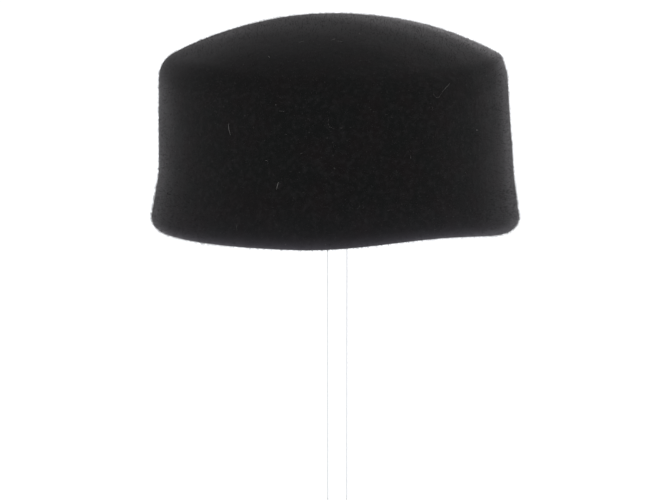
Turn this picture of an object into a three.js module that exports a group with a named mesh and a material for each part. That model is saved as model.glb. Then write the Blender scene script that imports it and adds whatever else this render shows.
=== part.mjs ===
// A pillbox hat of black felt with a softly domed crown, on a clear display stand.
// The hat is one sheet of felt, blocked over a wooden form: a domed tip, a straight side that
// flares towards the rim, and a rim that is turned under into a short hem inside the hat.
// The stand is a round base, a post and a round cap, all of clear acrylic, with the crown on the cap.
// Millimetres, +Z up, the front of the hat towards -Y, the origin under the middle of the base.

import * as THREE from "three";

// Hat: the felt and the head oval
const feltThickness = 2.5;
const ovalDifference = 34; // a regular head oval is this much longer than it is wide
const hatHeight = 103.4; // from the turned rim to the top of the crown

// Hat: widths of the outside, seen from the front
const rimWidth = 178.4;
const waistWidth = 170.9; // where the straight side starts to flare
const shoulderWidth = 170.2; // where the side meets the tip

// Hat: the heights and radii of that outline
const waistHeight = 26;
const waistRadius = 70; // the hollow bend into the flare
const tipRadius = 171; // the dome of the crown towards the sides
const shoulderRadius = 13; // at the sides
const endTipRadius = 120; // the dome towards the front and the back, which comes down sooner
const endShoulderRadius = 32; // at the front and the back

// Hat: the turned rim and its hem
const foldRadius = 3.4; // inside the fold
const hemHeight = 17;
const hemGap = 0.6; // between the hem's upper edge and the side

// Hat: what the hand-blocked felt does besides
const rimLift = 3.6; // the rim rises at the front right
const rimLiftAt = 33; // degrees from the front towards the right
const rimLiftSpan = 45; // degrees to either side
const rimLiftFade = 45; // height at which the side has lost the lift
const shoulderTuck = 2.9; // the right shoulder sits further in than the left

// Stand
const baseDiameter = 140;
const baseThickness = 8;
const postDiameter = 10;
const capDiameter = 76;
const capThickness = 5;
const standHeight = 300; // from the surface to the top of the cap
const baseSocketDepth = 5;
const capSocketDepth = 3;
const edgeRadius = 1.5; // the polished edges of base and cap
const clearance = 0.3; // between pieces that seat in or on each other
const hatOffset = -0.6; // the hat hangs a little to the left of the post

// How finely round things are divided
const hatSides = 64;
const discSides = 48;
const postSides = 32;
const outlineSteps = { tip: 8, shoulder: 5, side: 4, waist: 3, flare: 2, fold: 8, hem: 2 };
const edgeSteps = 4;

const degrees = THREE.MathUtils.degToRad;
const sheetRadius = foldRadius + feltThickness; // outside the fold
const shoulderReach = shoulderWidth / 2;
const shoulderHeight = hatHeight - domeDrop(shoulderReach, tipRadius);

// A point of the outline with the direction that faces out of the felt there.
function outlinePoint(point, normal) {
  return { point, normal };
}

// Points on an arc, clockwise from one angle to the other. A bend that is hollow from outside
// has its felt on the far side, so its normals point to the centre.
function arc(centre, radius, from, to, steps, hollow = false) {
  const found = [];
  for (let i = 0; i <= steps; i++) {
    const angle = from + ((to - from) * i) / steps;
    const ray = new THREE.Vector2(Math.cos(angle), Math.sin(angle));
    const point = centre.clone().addScaledVector(ray, radius);
    found.push(outlinePoint(point, ray.multiplyScalar(hollow ? -1 : 1)));
  }
  return found;
}

// Points between two others on a straight stretch, without its ends.
function straight(start, end, steps) {
  const found = [];
  for (let i = 1; i < steps; i++) {
    const point = start.point.clone().lerp(end.point, i / steps);
    found.push(outlinePoint(point, start.normal.clone()));
  }
  return found;
}

// The line from one point to another: its direction, and the side of it that faces out when the
// line goes up the right-hand side of the outline.
function lineUp(from, to) {
  const along = to.clone().sub(from).normalize();
  return { along, out: new THREE.Vector2(along.y, -along.x) };
}

// The outside of the felt from the top of the crown to the end of the hem: tip, shoulder, side,
// waist, flare, fold and hem, each tangent to the next.
function feltOutline(domeRadius, cornerRadius) {
  const waist = new THREE.Vector2(waistWidth / 2, waistHeight);
  const shoulderLevel = hatHeight - domeDrop(shoulderReach, domeRadius);
  const side = lineUp(waist, new THREE.Vector2(shoulderReach, shoulderLevel));

  // The shoulder's circle touches the side from inside and the tip's circle from inside.
  const tipCentre = new THREE.Vector2(0, hatHeight - domeRadius);
  const start = waist.clone().addScaledVector(side.out, -cornerRadius).sub(tipCentre);
  const reach = domeRadius - cornerRadius;
  const half = start.dot(side.along);
  const climb = -half + Math.sqrt(half * half - start.lengthSq() + reach * reach);
  const shoulderCentre = start.addScaledVector(side.along, climb).add(tipCentre);
  const tipEnd = shoulderCentre.clone().sub(tipCentre).angle();
  const sideAngle = Math.atan2(side.out.y, side.out.x);

  // The fold's circle rests on the rim's level and reaches the rim's width.
  const foldCentre = new THREE.Vector2(rimWidth / 2 - sheetRadius, sheetRadius);
  const flareAngle = tangentAngle(foldCentre, sheetRadius, waist, 1);
  const flareStart = arc(foldCentre, sheetRadius, flareAngle, flareAngle, 1)[0];
  const flare = lineUp(flareStart.point, waist);

  // The waist's circle lies outside the hat and touches the side and the flare, within its length.
  const turn = Math.acos(THREE.MathUtils.clamp(side.along.dot(flare.along), -1, 1));
  const bendRadius = Math.min(waistRadius, flareStart.point.distanceTo(waist) / Math.tan(turn / 2));
  const waistCentre = waist.clone().addScaledVector(side.along, bendRadius * Math.tan(turn / 2));
  waistCentre.addScaledVector(side.out, bendRadius);

  // The hem stands up inside the flare, with its upper edge all but against it.
  const flareRun = (hemHeight - flareStart.point.y) * (flare.along.x / flare.along.y);
  const hemX = flareStart.point.x + flareRun - 2 * feltThickness - hemGap;
  const hemEnd = new THREE.Vector2(hemX, hemHeight);
  const hemAngle = tangentAngle(foldCentre, sheetRadius, hemEnd, -1) - 2 * Math.PI;

  const steps = outlineSteps;
  const tip = arc(tipCentre, domeRadius, Math.PI / 2, tipEnd, steps.tip);
  const bend = arc(shoulderCentre, cornerRadius, tipEnd, sideAngle, steps.shoulder);
  const hollow = arc(
    waistCentre, bendRadius, sideAngle + Math.PI, flareAngle + Math.PI, steps.waist, true);
  const fold = arc(foldCentre, sheetRadius, flareAngle, hemAngle, steps.fold);
  const hem = outlinePoint(hemEnd, fold.at(-1).normal.clone());

  return [
    ...tip, ...bend.slice(1),
    ...straight(bend.at(-1), hollow[0], steps.side), ...hollow,
    ...straight(hollow.at(-1), fold[0], steps.flare), ...fold,
    ...straight(fold.at(-1), hem, steps.hem), hem,
  ];
}

// How far a dome of some radius has come down at a distance from its middle.
function domeDrop(distance, radius) {
  return radius - Math.sqrt(radius ** 2 - distance ** 2);
}

// The angle on a circle of the point whose tangent passes through a point outside it. The side
// is 1 for the tangent met first going clockwise from that point's direction, -1 for the other.
function tangentAngle(centre, radius, outside, side) {
  const away = outside.clone().sub(centre);
  return Math.atan2(away.y, away.x) - side * Math.acos(radius / away.length());
}

// The felt's section: its inside from the middle of the tip to the end of the hem, then its
// outside a thickness away, back to the middle. Each point keeps the outline point that it
// belongs to.
function feltSection(domeRadius, cornerRadius) {
  const outline = feltOutline(domeRadius, cornerRadius);
  const outside = outline.map((at) => ({ point: at.point, at: at.point }));
  const inside = outline.map((at) => ({
    point: at.point.clone().addScaledVector(at.normal, -feltThickness), at: at.point,
  }));
  outside[0].point.x = inside[0].point.x = 0;
  return [...inside, ...outside.reverse()];
}

// Eases from 0 to 1 as a value goes from one limit to the other.
function ease(value, from, to) {
  return THREE.MathUtils.smoothstep(value, from, to);
}

// What blocking and wear do to a round hat at a point of its outline, some way around from the
// front towards the right: the head oval, the lifted rim and the tucked shoulder. Both faces of
// the felt move alike, so it keeps its thickness.
function blockedShift({ x: radius, y: height }, around) {
  const spread = Math.sin((Math.PI / 2) * Math.min(1, radius / (shoulderReach - shoulderRadius)));
  const turned = THREE.MathUtils.euclideanModulo(around - degrees(rimLiftAt) + Math.PI, 2 * Math.PI);
  const off = (turned - Math.PI) / degrees(rimLiftSpan);
  const bump = Math.abs(off) < 1 ? Math.cos((Math.PI / 2) * off) ** 2 : 0;
  const rightward = Math.max(0, Math.sin(around)) ** 2;
  const tuck = ease(radius, shoulderReach - shoulderRadius / 2, shoulderReach)
    * ease(height, waistHeight, shoulderHeight);
  return new THREE.Vector3(
    -shoulderTuck * rightward * tuck,
    -(ovalDifference / 2) * spread * Math.cos(around),
    rimLift * bump * (1 - ease(height, 0, rimLiftFade)),
  );
}

// A solid turned about Z from a section of (distance from the axis, height).
function lathed(section, sides) {
  return new THREE.LatheGeometry(section, sides).rotateX(Math.PI / 2);
}

// A flat disc with rounded edges and a blind socket for the post in one face. The section runs
// from the plain face's middle to the socket's floor.
function discSection(diameter, thickness, socketDepth) {
  const socketRadius = postDiameter / 2 + clearance;
  const rounding = Math.min(edgeRadius, thickness / 3);
  const flatRadius = diameter / 2 - rounding;
  const lower = new THREE.Vector2(flatRadius, rounding);
  const upper = new THREE.Vector2(flatRadius, thickness - rounding);
  const quarter = Math.PI / 2;
  return [
    new THREE.Vector2(0, 0),
    ...arc(lower, rounding, -quarter, 0, edgeSteps).map(({ point }) => point),
    ...arc(upper, rounding, 0, quarter, edgeSteps).map(({ point }) => point),
    new THREE.Vector2(socketRadius, thickness),
    new THREE.Vector2(socketRadius, thickness - socketDepth),
    new THREE.Vector2(0, thickness - socketDepth),
  ];
}

const felt = new THREE.MeshStandardMaterial({ color: 0x1b1a1b, roughness: 0.95, metalness: 0 });
const acrylic = new THREE.MeshStandardMaterial({
  color: 0xf4f7f8, roughness: 0.05, metalness: 0, transparent: true, opacity: 0.3,
});

function namedMesh(name, geometry, material) {
  const mesh = new THREE.Mesh(geometry, material);
  mesh.name = name;
  return mesh;
}

// The hat has one section at its sides and another at its front and back, and blends them between.
function feltBody() {
  const side = feltSection(tipRadius, shoulderRadius);
  const end = feltSection(endTipRadius, endShoulderRadius);
  const geometry = lathed(side.map(({ point }) => point), hatSides);
  const position = geometry.getAttribute("position");
  for (let i = 0; i < position.count; i++) {
    const around = (2 * Math.PI * Math.floor(i / side.length)) / hatSides;
    const endward = Math.cos(around) ** 2;
    const row = i % side.length;
    const point = side[row].point.clone().lerp(end[row].point, endward);
    const at = side[row].at.clone().lerp(end[row].at, endward);
    const v = new THREE.Vector3(point.x * Math.sin(around), -point.x * Math.cos(around), point.y);
    v.add(blockedShift(at, around));
    position.setXYZ(i, v.x, v.y, v.z);
  }
  geometry.computeVertexNormals();
  return namedMesh("felt_body", geometry, felt);
}

function standBase() {
  const section = discSection(baseDiameter, baseThickness, baseSocketDepth);
  return namedMesh("stand_base", lathed(section, discSides), acrylic);
}

function standPost() {
  const bottom = baseThickness - baseSocketDepth + clearance;
  const top = standHeight - capThickness + capSocketDepth - clearance;
  const geometry = new THREE.CylinderGeometry(
    postDiameter / 2, postDiameter / 2, top - bottom, postSides).rotateX(Math.PI / 2);
  const post = namedMesh("stand_post", geometry, acrylic);
  post.position.z = (bottom + top) / 2;
  return post;
}

// The cap is a disc upside down, with its socket underneath.
function standCap() {
  const section = discSection(capDiameter, capThickness, capSocketDepth);
  const cap = namedMesh("stand_cap", lathed(section, discSides), acrylic);
  cap.rotation.x = Math.PI;
  cap.position.z = standHeight;
  return cap;
}

// The underside of the tip sits on the cap where the cap's flat top ends, on the side that the
// hat is shifted to.
const seatReach = capDiameter / 2 - edgeRadius + Math.abs(hatOffset);
const crownUnderside = hatHeight - feltThickness - domeDrop(seatReach, tipRadius);

const hat = new THREE.Group();
hat.add(feltBody());
hat.position.set(hatOffset, 0, standHeight + clearance - crownUnderside);

const part = new THREE.Group();
part.add(hat, standBase(), standPost(), standCap());

export default part;
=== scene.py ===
# A black felt pillbox hat on a clear display stand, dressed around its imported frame.
# Metres, +Z up, the front of the hat towards -Y.

import math

import bpy
import numpy as np
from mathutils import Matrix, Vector


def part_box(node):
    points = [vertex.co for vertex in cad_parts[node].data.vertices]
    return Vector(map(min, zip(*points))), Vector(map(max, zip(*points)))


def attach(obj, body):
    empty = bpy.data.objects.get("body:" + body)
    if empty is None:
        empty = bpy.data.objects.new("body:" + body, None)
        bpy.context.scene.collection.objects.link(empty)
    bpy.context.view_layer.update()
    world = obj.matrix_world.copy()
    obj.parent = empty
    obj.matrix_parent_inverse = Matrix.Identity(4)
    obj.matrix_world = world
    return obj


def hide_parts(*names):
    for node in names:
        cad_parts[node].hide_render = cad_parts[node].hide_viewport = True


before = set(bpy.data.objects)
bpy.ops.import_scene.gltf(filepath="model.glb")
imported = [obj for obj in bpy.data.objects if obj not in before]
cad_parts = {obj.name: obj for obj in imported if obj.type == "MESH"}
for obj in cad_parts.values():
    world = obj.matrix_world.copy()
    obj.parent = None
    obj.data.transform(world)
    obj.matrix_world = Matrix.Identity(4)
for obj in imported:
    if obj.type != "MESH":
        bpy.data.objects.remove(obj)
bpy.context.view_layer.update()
scene = bpy.context.scene
mm = 0.001


# Camera
# A long lens about a metre and a half away, looking down a little onto the hat, so that the
# rim's near edge curves down and the stand's foot stays below the frame.
picture_width = 670  # pixels
focal_length = 3091.5  # pixels
sensor_width = 36.0
camera_distance = 1500 * mm
camera_pitch = math.radians(6.52)
aim = Vector((-1.1 * mm, 0, 192.4 * mm))

looking = Vector((0, math.cos(camera_pitch), -math.sin(camera_pitch)))
camera_data = bpy.data.cameras.new("camera")
camera_data.sensor_width = sensor_width
camera_data.lens = focal_length * sensor_width / picture_width
camera_data.clip_end = 100
camera = bpy.data.objects.new("camera", camera_data)
camera.location = aim - looking * camera_distance
camera.rotation_euler = (math.pi / 2 - camera_pitch, 0, 0)
scene.collection.objects.link(camera)
scene.camera = camera


# Stand: base, post and cap
# Clear cast acrylic, turned and flame-polished. The post is glued into a blind socket in the
# base and another in the underside of the cap, on which the crown of the hat rests.
base_socket_depth = 5 * mm
cap_socket_depth = 3 * mm
socket_clearance = 0.3 * mm
disc_edge_radius = 1.5 * mm
post_edge_radius = 0.4 * mm
disc_sides = 160
post_sides = 96
edge_steps = 6
acrylic_index = 1.49  # refraction
wiped_patch = 14 * mm
lathe_sharp_angle = 40  # degrees; steeper edges than this stay crisp


def bend(centre, radius, start, end, steps):
    """Points on a circle from one angle to another, and the rays (cos a, sin a) from its centre
    to them."""
    angle = np.linspace(start, end, steps + 1)
    ray = np.stack([np.cos(angle), np.sin(angle)], -1)
    return np.asarray(centre) + radius * ray, ray


def turned(section, sides):
    """A grid of points: each point (radius, height) of the section carried round the Z axis,
    (r sin a, -r cos a, h), with a = 0 at the front and a quarter turn at +X. The section is one
    list of points for all sides, or a grid with points of its own for each side."""
    around = np.arange(sides) * (2 * np.pi / sides)
    section = section if section.ndim == 3 else section[:, None]
    radius, height = section[..., 0], section[..., 1]
    return np.stack(np.broadcast_arrays(
        radius * np.sin(around), -radius * np.cos(around), height), -1)


def closed_piece(name, grid, sharp_angle=180):
    """A piece from a grid of rings. The first and last ring lie on the axis and become one point
    each, and every other ring closes on itself. The section has the solid on its left, so that
    the faces point outwards."""
    rings, sides = grid.shape[:2]
    points = np.vstack([grid[0, :1], grid[1:-1].reshape(-1, 3), grid[-1, :1]])
    here = np.arange(sides)
    beside = (here + 1) % sides
    start = 1 + sides * np.arange(rings - 2)[:, None]
    quads = np.stack([start[:-1] + here, start[:-1] + beside,
                      start[1:] + beside, start[1:] + here], -1).reshape(-1, 4)
    pole, last = np.zeros_like(here), np.full_like(here, len(points) - 1)
    fans = np.vstack([np.stack([pole, 1 + beside, 1 + here], -1),
                      np.stack([start[-1] + here, start[-1] + beside, last], -1)])
    mesh = bpy.data.meshes.new(name)
    mesh.from_pydata(points.tolist(), [], quads.tolist() + fans.tolist())
    mesh.shade_smooth()
    mesh.set_sharp_from_angle(angle=math.radians(sharp_angle))
    piece = bpy.data.objects.new(name, mesh)
    scene.collection.objects.link(piece)
    return piece


def disc_section(radius, thickness, socket_depth, socket_radius):
    """A disc with rounded edges and a blind socket in its upper face: the line runs from the
    middle of the plain face, out round the edge, in over the other face and down the socket."""
    flat = radius - disc_edge_radius
    lower, _ = bend((flat, disc_edge_radius), disc_edge_radius, -np.pi / 2, 0, edge_steps)
    upper, _ = bend((flat, thickness - disc_edge_radius), disc_edge_radius, 0, np.pi / 2, edge_steps)
    floor_height = thickness - socket_depth
    socket = [(socket_radius, thickness), (socket_radius, floor_height), (0, floor_height)]
    return np.vstack([[(0, 0)], lower, upper, socket])


class Wire:
    """A value in a material's nodes. Arithmetic on wires and numbers adds Math nodes."""

    def __init__(self, finish, socket):
        self.finish = finish
        self.socket = socket

    def join(self, operation, first, second):
        return self.finish.node(
            "Math", {"operation": operation}, {"Value": first, "Value_001": second})

    def __add__(self, other):
        return self.join("ADD", self, other)

    def __rsub__(self, other):
        return self.join("SUBTRACT", other, self)

    def __mul__(self, other):
        return self.join("MULTIPLY", self, other)

    def __pow__(self, other):
        return self.join("POWER", self, other)

    __radd__ = __add__
    __rmul__ = __mul__


class Finish:
    """A material around one Principled shader, with its nodes added by node()."""

    def __init__(self, name, **uniform):
        self.material = bpy.data.materials.new(name)
        self.material.use_nodes = True
        self.tree = self.material.node_tree
        self.surface = self.tree.nodes["Principled BSDF"]
        self.feed(self.surface, {key.replace("_", " "): value for key, value in uniform.items()})

    def node(self, kind, settings=None, inputs=None, output=0):
        """Adds a node: first its settings, then a number, colour or wire for each input."""
        made = self.tree.nodes.new("ShaderNode" + kind)
        for key, value in (settings or {}).items():
            setattr(made, key, value)
        self.feed(made, inputs or {})
        return Wire(self, made.outputs[output])

    def feed(self, made, inputs):
        for key, value in inputs.items():
            socket = next(s for s in made.inputs if key in (s.identifier, s.name))
            if isinstance(value, Wire):
                self.tree.links.new(value.socket, socket)
            else:
                socket.default_value = value

    def place(self):
        """The point of the surface in the object's own metres."""
        return self.node("TexCoord", output="Object")

    def noise(self, place, size, detail=2.0, roughness=0.5, distortion=0.0):
        """Soft noise from 0 to 1 whose lumps are about the given size in metres."""
        return self.node("TexNoise", inputs={
            "Vector": place, "Scale": 1 / size, "Detail": detail,
            "Roughness": roughness, "Distortion": distortion})

    def ramp(self, value, low, high):
        """0 below low, 1 above high, smooth between."""
        return self.node(
            "MapRange", {"interpolation_type": "SMOOTHSTEP"},
            {"Value": value, "From Min": low, "From Max": high})

    def mix(self, share, first, second):
        """From the first colour to the second as the share goes from 0 to 1."""
        return self.node(
            "Mix", {"data_type": "RGBA"},
            {"Factor_Float": share, "A_Color": first, "B_Color": second}, "Result")

    def bump(self, height, distance):
        """The normal of a surface raised by up to a distance where the height is 1."""
        return self.node(
            "Bump", inputs={"Height": height, "Distance": distance, "Strength": 1.0})

    def edge_on(self):
        """0 where the eye meets the surface straight on, 1 where it only grazes it."""
        return self.node("LayerWeight", inputs={"Blend": 0.5}, output="Facing")


def clear_acrylic():
    """Clear and polished, with painted shade where the eye meets the surface edge-on, and with the
    faint haze of wiping."""
    finish = Finish("clear_acrylic", Transmission_Weight=1.0, IOR=acrylic_index)
    edge_on = finish.edge_on()
    # painted shade: the acrylic darker where the eye grazes it, for the dark edges the clear stand
    # shows
    painted_edge_shade = finish.ramp(edge_on, 0.35, 0.7)
    wiped = finish.noise(finish.place(), wiped_patch, detail=4.0, distortion=0.8)
    finish.feed(finish.surface, {
        "Base Color": finish.mix(painted_edge_shade, (1, 1, 1, 1), (0.25, 0.255, 0.26, 1)),
        "Roughness": 0.01 + 0.03 * finish.ramp(wiped, 0.5, 0.75)})
    return finish.material


acrylic = clear_acrylic()
base_low, base_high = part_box("stand_base")
post_low, post_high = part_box("stand_post")
cap_low, cap_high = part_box("stand_cap")
post_radius = post_high.x
socket_radius = post_radius + socket_clearance

base_section = disc_section(
    base_high.x, base_high.z - base_low.z, base_socket_depth, socket_radius)
acrylic_base = closed_piece(
    "acrylic_base", turned(base_section, disc_sides), lathe_sharp_angle)

post_end = post_radius - post_edge_radius
foot, _ = bend((post_end, post_low.z + post_edge_radius), post_edge_radius,
               -np.pi / 2, 0, edge_steps)
head, _ = bend((post_end, post_high.z - post_edge_radius), post_edge_radius,
               0, np.pi / 2, edge_steps)
post_section = np.vstack([[(0, post_low.z)], foot, head, [(0, post_high.z)]])
acrylic_post = closed_piece(
    "acrylic_post", turned(post_section, post_sides), lathe_sharp_angle)

cap_section = disc_section(
    cap_high.x, cap_high.z - cap_low.z, cap_socket_depth, socket_radius)
cap_section[:, 1] = cap_high.z - cap_section[:, 1]
acrylic_cap = closed_piece(
    "acrylic_cap", turned(cap_section[::-1], disc_sides), lathe_sharp_angle)

for piece, node in ((acrylic_base, "stand_base"), (acrylic_post, "stand_post"),
                    (acrylic_cap, "stand_cap")):
    piece.data.materials.append(acrylic)
    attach(piece, "root")
    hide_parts(node)


# Hat: the felt
# One sheet of black wool felt with a brushed velour face, blocked over a wooden form: domed tip,
# straight side, flare, and a rim turned under into a short hem. The dome rests on the stand's cap.
felt_thickness = 2.5 * mm
oval_difference = 34 * mm  # how much longer than wide the hat is
hat_height = 103.4 * mm
rim_width = 178.4 * mm
waist_width = 170.9 * mm
shoulder_width = 170.2 * mm
waist_height = 26 * mm
waist_radius = 70 * mm
tip_radius = 171 * mm  # towards the sides
end_tip_radius = 120 * mm  # towards the front and the back
shoulder_radius = 13 * mm  # at the sides
end_shoulder_radius = 32 * mm  # at the front and the back
fold_radius = 3.4 * mm
hem_height = 17 * mm
hem_gap = 0.6 * mm
rim_lift = 3.6 * mm  # the rim rises at the front right
rim_lift_at = math.radians(33)
rim_lift_span = math.radians(45)
rim_lift_fade = 45 * mm
shoulder_tuck = 2.9 * mm  # the right shoulder sits further in than the left
rim_press = 0.8 * mm  # the rim at the right is pressed in a little by handling
rim_press_from, rim_press_to = 8.5 * mm, 25.5 * mm  # heights between which the press fades
wave_height = 0.14 * mm
wave_unit = 10 * mm
wear_and_sheen_depth = 3.6 * mm  # height up to which the turned rim is worn and painted with sheen
wear_and_sheen_fade = 16 * mm  # height by which a fainter wear and painted sheen has mostly faded
felt_sides = 256
bend_steps = {"tip": 40, "shoulder": 24, "waist": 10, "fold": 26}
straight_steps = {"side": 24, "flare": 10, "hem": 7}

sheet_radius = fold_radius + felt_thickness
shoulder_reach = shoulder_width / 2


def tip_drop(distance, radius):
    """How far a dome has come down at a distance from its middle: its radius less the root of
    the radius squared less the distance squared."""
    return radius - math.sqrt(radius ** 2 - distance ** 2)


def line_up(start, end):
    """The unit vector from one point to another, and the side of it that faces outwards."""
    along = (end - start) / np.linalg.norm(end - start)
    return along, np.array([along[1], -along[0]])


def touch_angle(centre, radius, outside, side):
    """Where on a circle the tangent through an outside point touches it: the bearing of the
    point, turned by the angle whose cosine is the radius over the point's distance."""
    away = outside - centre
    return math.atan2(away[1], away[0]) - side * math.acos(radius / np.linalg.norm(away))


def joined(start, end, steps):
    """Points strictly between two bends on the straight stretch from one to the other, each
    with the direction that faces out of the felt there."""
    share = np.arange(1, steps)[:, None] / steps
    (points, rays), (next_points, _) = start, end
    return (points[-1] + share * (next_points[0] - points[-1]),
            np.repeat(rays[-1:], steps - 1, 0))


def felt_outline(dome_radius, corner_radius):
    """The outside of the sheet from the middle of the dome to the edge of the hem, as points
    (distance from the axis, height) and the directions that face out of the felt. Each of
    dome, shoulder, side, waist, flare, fold and hem is tangent to the next."""
    waist = np.array([waist_width / 2, waist_height])
    shoulder = np.array([shoulder_reach, hat_height - tip_drop(shoulder_reach, dome_radius)])
    side_along, side_out = line_up(waist, shoulder)

    tip_centre = np.array([0, hat_height - dome_radius])
    begin = waist - corner_radius * side_out - tip_centre
    half = begin @ side_along
    climb = -half + math.sqrt(half ** 2 - begin @ begin + (dome_radius - corner_radius) ** 2)
    corner_centre = tip_centre + begin + climb * side_along
    tip_end = math.atan2(*(corner_centre - tip_centre)[::-1])
    side_angle = math.atan2(side_out[1], side_out[0])

    fold_centre = np.array([rim_width / 2 - sheet_radius, sheet_radius])
    flare_angle = touch_angle(fold_centre, sheet_radius, waist, 1)
    flare_end = bend(fold_centre, sheet_radius, flare_angle, flare_angle, 0)[0][0]
    flare_along, _ = line_up(flare_end, waist)

    half_turn = math.acos(min(1, side_along @ flare_along)) / 2
    waist_centre = waist + waist_radius * (math.tan(half_turn) * side_along + side_out)

    hem_shift = (hem_height - flare_end[1]) * flare_along[0] / flare_along[1]
    hem_end = np.array([flare_end[0] + hem_shift - 2 * felt_thickness - hem_gap, hem_height])
    hem_angle = touch_angle(fold_centre, sheet_radius, hem_end, -1) - 2 * math.pi

    tip = bend(tip_centre, dome_radius, math.pi / 2, tip_end, bend_steps["tip"])
    corner = bend(corner_centre, corner_radius, tip_end, side_angle, bend_steps["shoulder"])
    hollow, to_centre = bend(waist_centre, waist_radius, side_angle + math.pi,
                             flare_angle + math.pi, bend_steps["waist"])
    hollow = (hollow, -to_centre)
    fold = bend(fold_centre, sheet_radius, flare_angle, hem_angle, bend_steps["fold"])
    edge = (hem_end[None], fold[1][-1:])
    corner_rest = (corner[0][1:], corner[1][1:])
    pieces = (tip, corner_rest, joined(corner, hollow, straight_steps["side"]), hollow,
              joined(hollow, fold, straight_steps["flare"]), fold,
              joined(fold, edge, straight_steps["hem"]), edge)
    return [np.vstack(column) for column in zip(*pieces)]


shoulder_height = hat_height - tip_drop(shoulder_reach, tip_radius)


def ease(value, start, end):
    """0 at the start, 1 at the end, smooth between: three times the share of the way squared,
    less twice its cube."""
    share = np.clip((value - start) / (end - start), 0, 1)
    return share * share * (3 - 2 * share)


def blocked(outline, around):
    """How far blocking and wear move a point of the round hat, from its place on the outline
    and its angle. The head oval moves it in Y by half the difference times the cosine of the
    angle, fading to nothing in the middle of the tip. The lifted rim moves it in Z by a squared
    cosine about one angle. The tucked shoulder and the pressed rim on the right move it in X by
    the squared sine of the angle."""
    radius, height = outline[..., 0], outline[..., 1]
    spread = np.sin(np.pi / 2 * np.minimum(1, radius / (shoulder_reach - shoulder_radius)))
    off = ((around - rim_lift_at + np.pi) % (2 * np.pi) - np.pi) / rim_lift_span
    lift = np.where(abs(off) < 1, np.cos(np.pi / 2 * off) ** 2, 0)
    rightward = np.maximum(0, np.sin(around)) ** 2
    tuck = ease(radius, shoulder_reach - shoulder_radius / 2, shoulder_reach) \
        * ease(height, waist_height, shoulder_height)
    press = rightward * (1 - ease(height, rim_press_from, rim_press_to))
    return np.stack(np.broadcast_arrays(
        -shoulder_tuck * rightward * tuck - rim_press * press,
        -oval_difference / 2 * spread * np.cos(around),
        rim_lift * lift * (1 - ease(height, 0, rim_lift_fade))), -1)


def grid_normals(grid):
    """Unit normals of a grid that closes around: down the section crossed with round it."""
    down = np.gradient(grid, axis=0)
    beside = np.roll(grid, -1, 1) - np.roll(grid, 1, 1)
    beside[0] = beside[1]
    normal = np.cross(down, beside)
    return normal / np.maximum(np.linalg.norm(normal, axis=-1, keepdims=True), 1e-12)


def hand_waves(grid):
    """The small unevenness of hand blocking: slow sine waves that cross over the hat."""
    x, y, z = (grid[..., i] / wave_unit for i in range(3))
    return wave_height * (np.sin(0.9 * x + 0.5 * z + 1.3) * np.sin(0.7 * y - 0.8 * z)
                          + 0.6 * np.sin(1.7 * z + 0.6 * x - 0.9 * y)
                          + 0.5 * np.sin(1.9 * y + 1.1 * x + 0.4))


felt_low, felt_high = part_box("felt_body")
hat_origin = np.array([(felt_low.x + felt_high.x) / 2, 0, felt_high.z - hat_height])
around = np.arange(felt_sides) * (2 * np.pi / felt_sides)
endward = (np.cos(around) ** 2)[:, None]  # 1 at the front and the back, 0 at the sides
side_outline, side_outward = felt_outline(tip_radius, shoulder_radius)
end_outline, end_outward = felt_outline(end_tip_radius, end_shoulder_radius)
outline = side_outline[:, None] * (1 - endward) + end_outline[:, None] * endward
outward = side_outward[:, None] * (1 - endward) + end_outward[:, None] * endward
inside = outline - felt_thickness * outward
outline[0, :, 0] = inside[0, :, 0] = 0

shift = blocked(outline, around) + hat_origin
outer_grid = turned(outline, felt_sides) + shift
inner_grid = turned(inside, felt_sides) + shift
outer_normals = grid_normals(outer_grid)
outer_normals[0] = (0, 0, 1)
above_fold = 1 - ease(-outward[..., 1], 0.2, 0.9)  # the waves end where the felt faces down
waves = hand_waves(outer_grid) * above_fold
outer_grid = outer_grid + waves[..., None] * outer_normals
felt_hat = closed_piece("felt_hat", np.vstack([inner_grid, outer_grid[::-1]]))

# How much the rim is rubbed and painted with sheen of the light from below, kept on the mesh: most
# on the turned rim, fading up the side.
rim_height = outline[..., 1]
wear_and_sheen_share = 0.85 * np.exp(-((rim_height / wear_and_sheen_depth) ** 1.5)) \
    + 0.15 * np.exp(-((rim_height / wear_and_sheen_fade) ** 2))
per_point = np.concatenate([[0], np.zeros(inner_grid[1:].shape[:2]).ravel(),
                            wear_and_sheen_share[:0:-1].ravel(), [0]])
rim_wear_and_sheen = felt_hat.data.attributes.new("rim_wear_and_sheen", "FLOAT", "POINT")
rim_wear_and_sheen.data.foreach_set("value", per_point)

patch_size, clump_size = 13 * mm, 2.3 * mm  # of nap that lies one way
fibre_size, speck_size = 0.5 * mm, 0.8 * mm
nap_relief = 0.12 * mm
crown_from, crown_full = 270 * mm, 290 * mm  # heights between which the crown's painted shade and sheen take over
shaded_side, lit_side = -75 * mm, 65 * mm  # places to the right of the middle, from the crown's painted shade to its painted sheen


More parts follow.
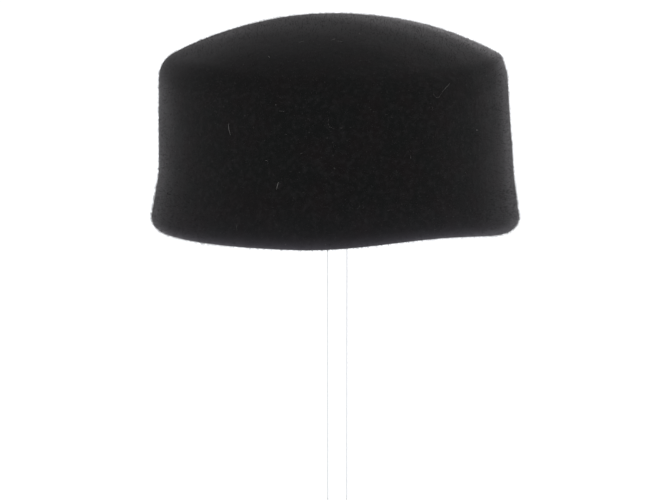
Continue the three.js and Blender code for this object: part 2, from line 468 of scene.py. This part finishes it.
def velour_felt():
    """Near-black wool with a brushed nap. The nap is mottled where it lies in different ways,
    dust has settled in it, and a painted sheen pales it edge-on, most on the crown's right.
    Painted shade darkens the crown's left; the rubbed rim is paler, with painted sheen."""
    finish = Finish("black_felt", Sheen_Weight=0.125, Sheen_Roughness=0.42,
                    Sheen_Tint=(0.92, 0.89, 0.93, 1), Specular_IOR_Level=0.02)
    place = finish.place()
    patches = finish.ramp(finish.noise(place, patch_size, 3.0, 0.6), 0.35, 0.7)
    clumps = finish.noise(place, clump_size, 3.0, 0.6, 0.3)
    fibres = finish.noise(place, fibre_size, 3.0, 0.7, 1.2)
    specks = finish.noise(place, speck_size, 1.0, 0.4)
    wear_and_sheen_share = finish.node("Attribute", {"attribute_name": "rim_wear_and_sheen"}, output="Fac")
    edge_on = finish.edge_on()
    rightward = finish.node("SeparateXYZ", inputs={"Vector": place}, output="X")
    height = finish.node("SeparateXYZ", inputs={"Vector": place}, output="Z")
    crown = finish.ramp(height, crown_from, crown_full)
    facing_light = finish.ramp(rightward, shaded_side, lit_side)
    # painted sheen: the felt paled where the eye grazes it, more on the crown's right, towards the
    # light
    painted_edge_sheen = 0.36 * (1 - crown) * edge_on ** 8 \
        + crown * (0.2 + 1.2 * facing_light ** 1.5) * edge_on ** 12
    warm, cool = (0.0087, 0.0073, 0.0075, 1), (0.0067, 0.0074, 0.0072, 1)
    worn, dusty = (0.019, 0.0185, 0.019, 1), (0.04, 0.04, 0.039, 1)
    tone = finish.mix(patches, cool, warm)
    tone = finish.mix(0.55 * finish.ramp(clumps, 0.42, 0.78), tone, worn)
    tone = finish.mix(0.6 * finish.ramp(fibres, 0.5, 0.8), tone, worn)
    tone = finish.mix(0.75 * finish.ramp(specks, 0.7, 0.82), tone, dusty)
    # painted shade: the left of the crown darkened towards black, away from the light at the back
    # right
    tone = finish.mix(0.8 * crown * (1 - facing_light), tone, (0.0015, 0.0015, 0.0015, 1))
    # the turned rim paler and bluish: rubbed nap, with painted sheen of the light from below
    tone = finish.mix(0.9 * wear_and_sheen_share, tone, (0.05, 0.047, 0.055, 1))
    tone = finish.mix(painted_edge_sheen, tone, (0.3, 0.29, 0.3, 1))
    finish.feed(finish.surface, {
        "Base Color": tone,
        "Roughness": 0.84 + 0.14 * clumps,
        "Normal": finish.bump(0.6 * clumps + 0.4 * fibres, nap_relief)})
    return finish.material


felt = velour_felt()
felt_hat.data.materials.append(felt)
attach(felt_hat, "root")
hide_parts("felt_body")


# Hat: the nap
# The loose ends of the wool stand a millimetre or so out of the velour, thickest where the
# rim is turned and rubbed. Each is a thin closed strand that tapers to its tip.
nap_seed = 5
nap_rows = (
    {"name": "nap_crown", "from": 0 * mm, "to": 92 * mm, "count": 14000, "length": 0.7 * mm},
    {"name": "nap_side", "from": 92 * mm, "to": 145 * mm, "count": 15000, "length": 0.7 * mm},
    {"name": "nap_rim", "from": 145 * mm, "to": 180 * mm, "count": 15500, "length": 0.95 * mm},
)
nap_radius = 0.048 * mm
nap_depth = 0.1 * mm
nap_sides = 3
length_spread, lean_spread, curl_spread = 0.35, 0.55, 0.3
paler_stretch = 1.5 * mm


def strands(name, paths, radii, sides):
    """Thin closed strands as one mesh. The paths are a grid (strand, step) of points, with a
    ring of sides around each step in the plane across the path, and a pole at either end."""
    count, steps = paths.shape[:2]
    along = np.gradient(paths, axis=1)
    along /= np.linalg.norm(along, axis=-1, keepdims=True)
    upright = np.where(abs(along[:, :1, 2:]) < 0.9, [[[0, 0, 1.0]]], [[[1.0, 0, 0]]])
    across = np.cross(along, upright)
    across /= np.linalg.norm(across, axis=-1, keepdims=True)
    third = np.cross(along, across)
    angle = np.arange(sides)[:, None] * (2 * np.pi / sides)
    ring = np.cos(angle) * across[:, :, None] + np.sin(angle) * third[:, :, None]
    rings = paths[:, 1:-1, None] + radii[:, 1:-1, None, None] * ring[:, 1:-1]
    points = np.concatenate(
        [paths[:, :1], rings.reshape(count, -1, 3), paths[:, -1:]], 1)

    here = np.arange(sides)
    beside = (here + 1) % sides
    start = 1 + sides * np.arange(steps - 3)[:, None]
    corners = [start + here, start + beside, start + sides + beside, start + sides + here]
    quads = np.stack(corners, -1).reshape(-1, 4)
    final = points.shape[1] - 1
    pole, last = np.zeros_like(here), np.full_like(here, final)
    top = final - sides
    faces = np.vstack([np.stack([pole, 1 + beside, 1 + here], -1),
                       quads[:, [0, 1, 2]], quads[:, [0, 2, 3]],
                       np.stack([top + here, top + beside, last], -1)])
    every = np.arange(count)[:, None, None] * points.shape[1] + faces
    mesh = bpy.data.meshes.new(name)
    mesh.from_pydata(points.reshape(-1, 3).tolist(), [], every.reshape(-1, 3).tolist())
    mesh.shade_smooth()
    piece = bpy.data.objects.new(name, mesh)
    scene.collection.objects.link(piece)
    return piece


def scattered(random, first, last, count):
    """Places spread evenly over the outer surface between two rings: positions and normals. A
    cell of the grid is drawn by its area, then a place in it by two shares."""
    upper, lower = outer_grid[first:last], outer_grid[first + 1:last + 1]
    area = np.linalg.norm(np.cross(lower - upper, np.roll(upper, -1, 1) - upper), axis=-1)
    cell = random.choice(area.size, count, p=area.ravel() / area.sum())
    row, column = np.divmod(cell, felt_sides)
    row, beside = row + first, (column + 1) % felt_sides
    down, across = random.random((2, count, 1))

    def blended(grid):
        here = grid[row, column] * (1 - across) + grid[row, beside] * across
        below = grid[row + 1, column] * (1 - across) + grid[row + 1, beside] * across
        return here * (1 - down) + below * down

    normal = blended(outer_normals)
    return blended(outer_grid), normal / np.linalg.norm(normal, axis=-1, keepdims=True)


def flattened(vector, normal):
    """The part of each vector that lies along the surface: the vector less its part along the
    normal."""
    return vector - normal * (vector * normal).sum(-1, keepdims=True)


def nap_fibre():
    """Black wool ends, a little paler than the felt because light passes them."""
    finish = Finish("nap_fibre", Roughness=0.8, Specular_IOR_Level=0.1)
    strand = finish.noise(finish.place(), paler_stretch, 2.0)
    finish.feed(finish.surface, {
        "Base Color": finish.mix(finish.ramp(strand, 0.4, 0.75),
                                 (0.012, 0.0112, 0.0118, 1), (0.075, 0.071, 0.073, 1))})
    return finish.material


nap = nap_fibre()
random = np.random.default_rng(nap_seed)
steps = np.linalg.norm(np.diff(side_outline, axis=0), axis=-1)
arc_length = np.concatenate([[0], np.cumsum(steps)])
for row in nap_rows:
    first, last = (int(i) for i in np.searchsorted(arc_length, (row["from"], row["to"])))
    root, normal = scattered(random, first, last, row["count"])
    size = row["length"] * random.lognormal(0, length_spread, (len(root), 1))
    lean = flattened(random.normal(0, lean_spread, root.shape), normal)
    curl = random.normal(0, curl_spread, root.shape)
    # rooted in the felt, upright at first, then leaning over and curling at the tip
    paths = np.stack([
        root - nap_depth * normal, root,
        root + size * (0.55 * normal + 0.3 * lean),
        root + size * (0.85 * normal + lean + 0.5 * curl)], 1)
    radii = np.tile([0, nap_radius, 0.7 * nap_radius, 0], (len(root), 1))
    piece = strands(row["name"], paths, radii, nap_sides)
    piece.data.materials.append(nap)
    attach(piece, "root")


# Hat: lint
# Pale hairs and specks of dust that cling to the velour. Those that show in the photograph lie
# where it has them, and finer dust is spread all over.
photo_centre = (335, 250)  # pixels
lint_lift = 0.12 * mm
lint_steps = 9
lint_sides = 6
radius_of_thickness = 0.26  # the photograph blurs a hair to about twice its thickness
uneven_stretch = 0.9 * mm
lint_rows = (
    # start, middle and end as (column, row) in the photograph's pixels, and the thickness
    {"start": (228.6, 122.5), "middle": (229.1, 129.5), "end": (231.2, 136), "thick": 0.2 * mm},
    {"start": (279.2, 181.5), "middle": (277.6, 185), "end": (276.5, 190), "thick": 0.26 * mm},
    {"start": (278.2, 111.4), "middle": (281.5, 111.2), "end": (284.7, 111.6), "thick": 0.09 * mm},
    {"start": (450.5, 83), "middle": (446, 87.5), "end": (441.5, 92.5), "thick": 0.14 * mm},
    {"start": (441.5, 92.5), "middle": (437, 97.8), "end": (433, 92.5), "thick": 0.07 * mm},
    {"start": (328.6, 118), "middle": (329.2, 126), "end": (334.5, 128.7), "thick": 0.06 * mm},
    {"start": (340, 128.2), "middle": (341.3, 128), "end": (342.6, 128.4), "thick": 0.12 * mm},
    {"start": (298, 42.6), "middle": (301, 42.2), "end": (304.8, 40.8), "thick": 0.09 * mm},
    {"start": (331.5, 40.4), "middle": (333.5, 39.6), "end": (335.6, 38.8), "thick": 0.14 * mm},
    {"start": (336, 41.2), "middle": (339.5, 41.2), "end": (343, 41.8), "thick": 0.08 * mm},
    {"start": (358.8, 33.4), "middle": (359.5, 34), "end": (360.2, 34.6), "thick": 0.24 * mm},
    {"start": (309.8, 25.4), "middle": (310.6, 25.1), "end": (311.6, 25), "thick": 0.16 * mm},
    {"start": (268.4, 56.2), "middle": (269, 57), "end": (270, 58.2), "thick": 0.2 * mm},
    {"start": (475.7, 130), "middle": (476.5, 130.2), "end": (477.4, 130.4), "thick": 0.26 * mm},
    {"start": (410.4, 155), "middle": (410.5, 157), "end": (410.8, 159), "thick": 0.13 * mm},
    {"start": (265.3, 160.8), "middle": (266.5, 160.4), "end": (267.8, 161), "thick": 0.13 * mm},
    {"start": (334, 167.6), "middle": (334.6, 168.2), "end": (335, 169), "thick": 0.14 * mm},
    {"start": (236.5, 224), "middle": (236.8, 227), "end": (236.5, 230), "thick": 0.05 * mm},
    {"start": (485.4, 75.6), "middle": (486, 75.4), "end": (486.8, 75.8), "thick": 0.12 * mm},
    {"start": (488.2, 99.6), "middle": (488.6, 100.5), "end": (488.4, 101.5), "thick": 0.1 * mm},
    {"start": (432.4, 106.5), "middle": (432.6, 108.5), "end": (432.3, 110.5), "thick": 0.06 * mm},
    {"start": (275, 104.6), "middle": (275.8, 104.8), "end": (276.8, 105), "thick": 0.1 * mm},
    {"start": (284.8, 134.4), "middle": (285.7, 134.2), "end": (286.8, 134.4), "thick": 0.1 * mm},
    {"start": (299, 154.4), "middle": (301, 153.6), "end": (303, 152.8), "thick": 0.06 * mm},
)
dust_seed = 11
dust_count = 70
dust_length = 0.45 * mm
dust_radius = 0.02 * mm
dust_sides = 4
dust_stations = (-0.6, -0.35, 0, 0.35, 0.6)  # along a speck, in its own lengths


def through_pixel(column, row):
    """The unit vector from the camera through a pixel of the photograph: the focal length
    ahead, and to the right and up by the pixel's distance from the middle."""
    right = Vector((1, 0, 0))
    up = right.cross(looking)
    side, rise = column - photo_centre[0], photo_centre[1] - row
    return (looking * focal_length + right * side + up * rise).normalized()


def on_felt(column, row):
    """The point of the felt that the camera sees at a pixel, lifted onto the nap."""
    hit, place, normal, _ = felt_hat.ray_cast(camera.location, through_pixel(column, row))
    assert hit, (column, row)
    return place + normal * lint_lift


def pale_lint():
    """Pale grey textile fibre, uneven along its length."""
    finish = Finish("pale_lint", Roughness=0.8, Specular_IOR_Level=0.2)
    uneven = finish.noise(finish.place(), uneven_stretch, 3.0)
    finish.feed(finish.surface, {
        "Base Color": finish.mix(uneven, (0.1, 0.098, 0.095, 1), (0.42, 0.41, 0.4, 1))})
    return finish.material


lint = pale_lint()
bpy.context.view_layer.update()
share = np.linspace(0, 1, lint_steps)
spread = np.stack([(1 - share) ** 2, 2 * share * (1 - share), share ** 2], -1)
pulled = np.array([[row["start"], np.array(row["middle"]) * 2 - np.add(
    row["start"], row["end"]) / 2, row["end"]] for row in lint_rows])
pixels = spread @ pulled
lint_paths = np.array([[on_felt(*pixel) for pixel in path] for path in pixels.tolist()])
thickness = np.array([row["thick"] for row in lint_rows])
tapered = np.sin(np.pi * (0.12 + 0.76 * share))
lint_radii = radius_of_thickness * thickness[:, None] * tapered
lint_strands = strands("lint_strands", lint_paths, lint_radii, lint_sides)

random = np.random.default_rng(dust_seed)
last = int(np.searchsorted(arc_length, nap_rows[-1]["to"]))
middle, normal = scattered(random, 0, last, dust_count)
reach = dust_length * random.lognormal(0, 0.5, (dust_count, 1))
lie = flattened(random.normal(0, 1, middle.shape), normal)
lie /= np.linalg.norm(lie, axis=-1, keepdims=True)
sway = np.cross(normal, lie) * random.normal(0, 0.3, (dust_count, 1))
height = lint_lift * random.uniform(0.3, 2, (dust_count, 1)) * normal
dust_paths = np.stack([middle + height + reach * (lie * t + sway * (1 - t * t))
                       for t in dust_stations], 1)
dust_radii = dust_radius * random.lognormal(0, 0.4, (dust_count, 1)) \
    * np.ones(len(dust_stations))
dust_specks = strands("dust_specks", dust_paths, dust_radii, dust_sides)

for piece in (lint_strands, dust_specks):
    piece.data.materials.append(lint)
    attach(piece, "root")


# Floor and light
# A pale matt floor, lit from within like a light table, that runs out to the white surround.
# Soft lamps stand behind to the right, low at the left and, weaker, in front to the right.
floor_size = 40.0
floor_drop = 0.2 * mm
floor_glow = 0.47
floor_mesh = bpy.data.meshes.new("floor")
corner = floor_size / 2
floor_mesh.from_pydata(
    [(-corner, -corner, -floor_drop), (corner, -corner, -floor_drop),
     (corner, corner, -floor_drop), (-corner, corner, -floor_drop)], [], [(0, 1, 2, 3)])
floor = bpy.data.objects.new("floor", floor_mesh)
scene.collection.objects.link(floor)
paint = Finish("pale_floor", Base_Color=(0.8, 0.8, 0.8, 1), Roughness=0.9, Specular_IOR_Level=0.1,
               Emission_Color=(0.92, 0.95, 1, 1), Emission_Strength=floor_glow)
floor_mesh.materials.append(paint.material)

# The surround is bright overhead and a little to the right, and dimmer towards the horizon.
horizon_strength, zenith_strength = 0.2, 1.05
brightest_way = (0.12, 0, 0.99)
dim_below, bright_above = 0.1, 0.75  # share of a way that points towards the brightest one
world = bpy.data.worlds.new("surround")
world.use_nodes = True
nodes, links = world.node_tree.nodes, world.node_tree.links
direction = nodes.new("ShaderNodeTexCoord")
upward = nodes.new("ShaderNodeVectorMath")
upward.operation = "DOT_PRODUCT"
upward.inputs[1].default_value = brightest_way
rising = nodes.new("ShaderNodeMapRange")
rising.interpolation_type = "SMOOTHSTEP"
rising.inputs["From Min"].default_value = dim_below
rising.inputs["From Max"].default_value = bright_above
rising.inputs["To Min"].default_value = horizon_strength
rising.inputs["To Max"].default_value = zenith_strength
links.new(direction.outputs["Generated"], upward.inputs[0])
links.new(upward.outputs["Value"], rising.inputs["Value"])
links.new(rising.outputs["Result"], nodes["Background"].inputs["Strength"])
nodes["Background"].inputs["Color"].default_value = (1, 1, 1, 1)
scene.world = world

lamps = (
    {"name": "right_back", "kind": "SPOT", "place": (1.5, 0.9, 0.95), "radius": 0.35, "watts": 20},
    {"name": "left_front", "kind": "SPOT", "place": (-1.2, -0.3, 0.06), "radius": 0.15, "watts": 12},
    {"name": "right_front", "kind": "AREA", "place": (1.4, -1.5, 1.2), "radius": 0.5, "watts": 4},
)
spot_cone = math.radians(16)  # narrow, so that the floor around the hat stays even
spot_blend = 0.5
lamp_aim = Vector((0, 0, 0.25))
for row in lamps:
    light = bpy.data.lights.new(row["name"], row["kind"])
    light.energy = row["watts"]
    if row["kind"] == "SPOT":
        light.spot_size = spot_cone
        light.spot_blend = spot_blend
        light.shadow_soft_size = row["radius"]
    else:
        light.size = 2 * row["radius"]
    lamp = bpy.data.objects.new(row["name"], light)
    lamp.location = row["place"]
    lamp.rotation_euler = (lamp_aim - lamp.location).to_track_quat("-Z", "Y").to_euler()
    scene.collection.objects.link(lamp)

scene.view_settings.view_transform = "Standard"
